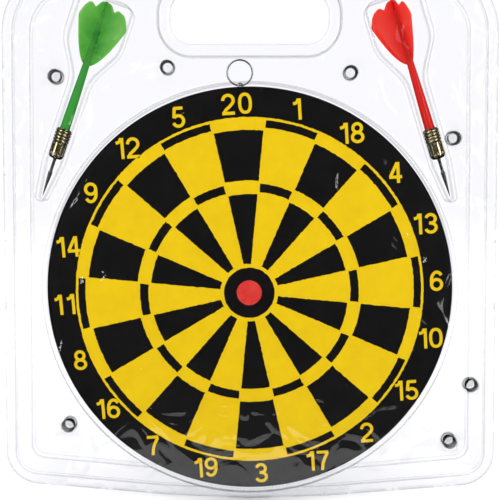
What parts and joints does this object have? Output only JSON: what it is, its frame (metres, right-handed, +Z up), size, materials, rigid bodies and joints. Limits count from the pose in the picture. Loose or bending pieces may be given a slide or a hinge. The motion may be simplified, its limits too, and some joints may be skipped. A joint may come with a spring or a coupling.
{
  "type": "dartboard set",
  "caption": "Round wound-paper dartboard with steel-point darts, held in a clear snap-shut clamshell pack with a hand hole",
  "frame": {"origin": "the rearmost plane of the pack, behind the centre of the bull", "axes": "X to the right as seen from the front, +Y back into the wall, +Z up"},
  "size_m": [0.2968, 0.014, 0.3203],
  "materials": {
    "clear_sheet": "clear formed sheet, glossy",
    "wound_paper": "tightly wound paper strip",
    "printed_cover": "black cover with yellow screen print",
    "plain_cover": "black cover",
    "steel_wire": "bright drawn wire",
    "dark_steel": "blackened steel",
    "brass": "turned brass, darkened in the grooves",
    "green_plastic": "translucent moulded plastic, green",
    "red_plastic": "translucent moulded plastic, red"
  },
  "bodies": {
    "pack_back": {"back_shell": "clear_sheet"},
    "pack_front": {"front_shell": "clear_sheet"},
    "board": {"board_core": "wound_paper", "board_face": "printed_cover", "board_back": "plain_cover", "hanger_eye": "steel_wire"},
    "hanger": {"hanger_ring": "steel_wire"},
    "green_dart": {"green_point": "dark_steel", "green_barrel": "brass", "green_flight": "green_plastic"},
    "red_dart": {"red_point": "dark_steel", "red_barrel": "brass", "red_flight": "red_plastic"}
  },
  "joints": [
    {"name": "lid_hinge", "type": "hinge", "parent": "pack_back", "child": "pack_front", "pos_m": [-0.14584, -0.007, 0.03], "axis": [-0.02, 0, -0.9998], "range_deg": [0, 180]},
    {"name": "board_lift", "type": "slide", "parent": "pack_back", "child": "board", "axis": [0, -1, 0], "range_m": [0, 0.046]},
    {"name": "green_dart_lift", "type": "slide", "parent": "pack_back", "child": "green_dart", "axis": [0, -1, 0], "range_m": [0, 0.037]},
    {"name": "red_dart_lift", "type": "slide", "parent": "pack_back", "child": "red_dart", "axis": [0, -1, 0], "range_m": [0, 0.037]},
    {"name": "ring_swing", "type": "hinge", "parent": "board", "child": "hanger", "pos_m": [-0.00527, -0.007, 0.12073], "axis": [0.999, 0, 0.0436], "range_deg": [0, 90]}
  ],
  "couplings": [
    {"joint": "board_lift", "follows": "lid_hinge", "m_per_rad": 0.0143},
    {"joint": "green_dart_lift", "follows": "lid_hinge", "m_per_rad": 0.0115},
    {"joint": "red_dart_lift", "follows": "lid_hinge", "m_per_rad": 0.0115},
    {"joint": "ring_swing", "follows": "lid_hinge", "ratio": 0.5}
  ]
}
